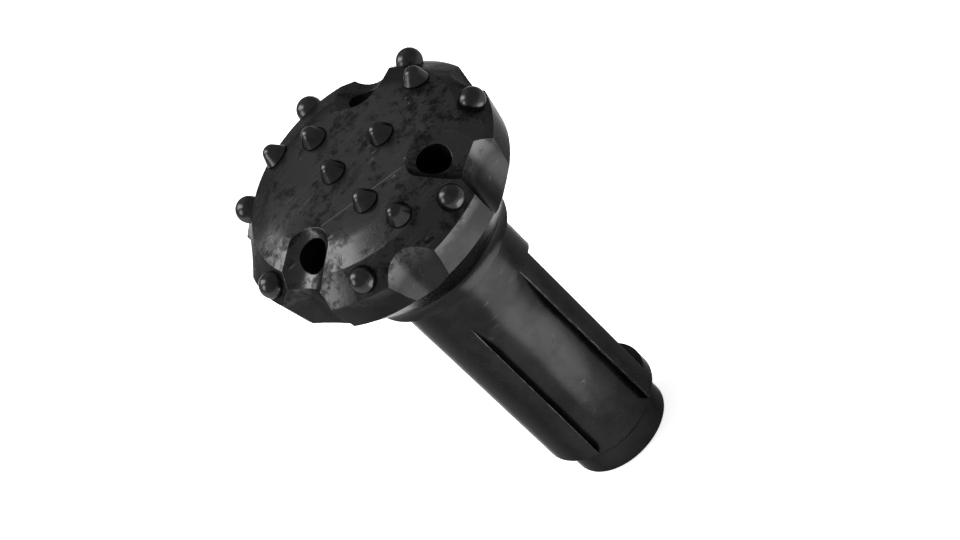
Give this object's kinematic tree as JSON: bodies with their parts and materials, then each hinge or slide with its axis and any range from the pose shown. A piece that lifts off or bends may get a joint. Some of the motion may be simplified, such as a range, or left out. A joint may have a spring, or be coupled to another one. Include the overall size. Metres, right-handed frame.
{
  "type": "button drill bit",
  "caption": "Down-the-hole button drill bit: round flared head with domed gauge buttons and pointed face buttons, flushing holes and side slots, on a long keyed shank.",
  "frame": {"origin": "centre of the tail end face, on the axis", "axes": "+Z along the axis from the tail towards the cutting face; +X towards the side opposite the retaining slot"},
  "size_m": [0.1076, 0.1087, 0.1748],
  "materials": {
    "bit_steel": "forged, turned and milled alloy steel, case hardened, oil-blackened with a thin dark grey oxide skin",
    "carbide": "sintered tungsten carbide, ground smooth, dark grey"
  },
  "bodies": {
    "root": {"bit_body": "bit_steel", "gauge_button_1": "carbide", "gauge_button_2": "carbide", "gauge_button_3": "carbide", "gauge_button_4": "carbide", "gauge_button_5": "carbide", "gauge_button_6": "carbide", "gauge_button_7": "carbide", "face_button_1": "carbide", "face_button_2": "carbide", "face_button_3": "carbide", "face_button_4": "carbide", "face_button_5": "carbide", "face_button_6": "carbide", "face_button_7": "carbide"}
  },
  "joints": []
}
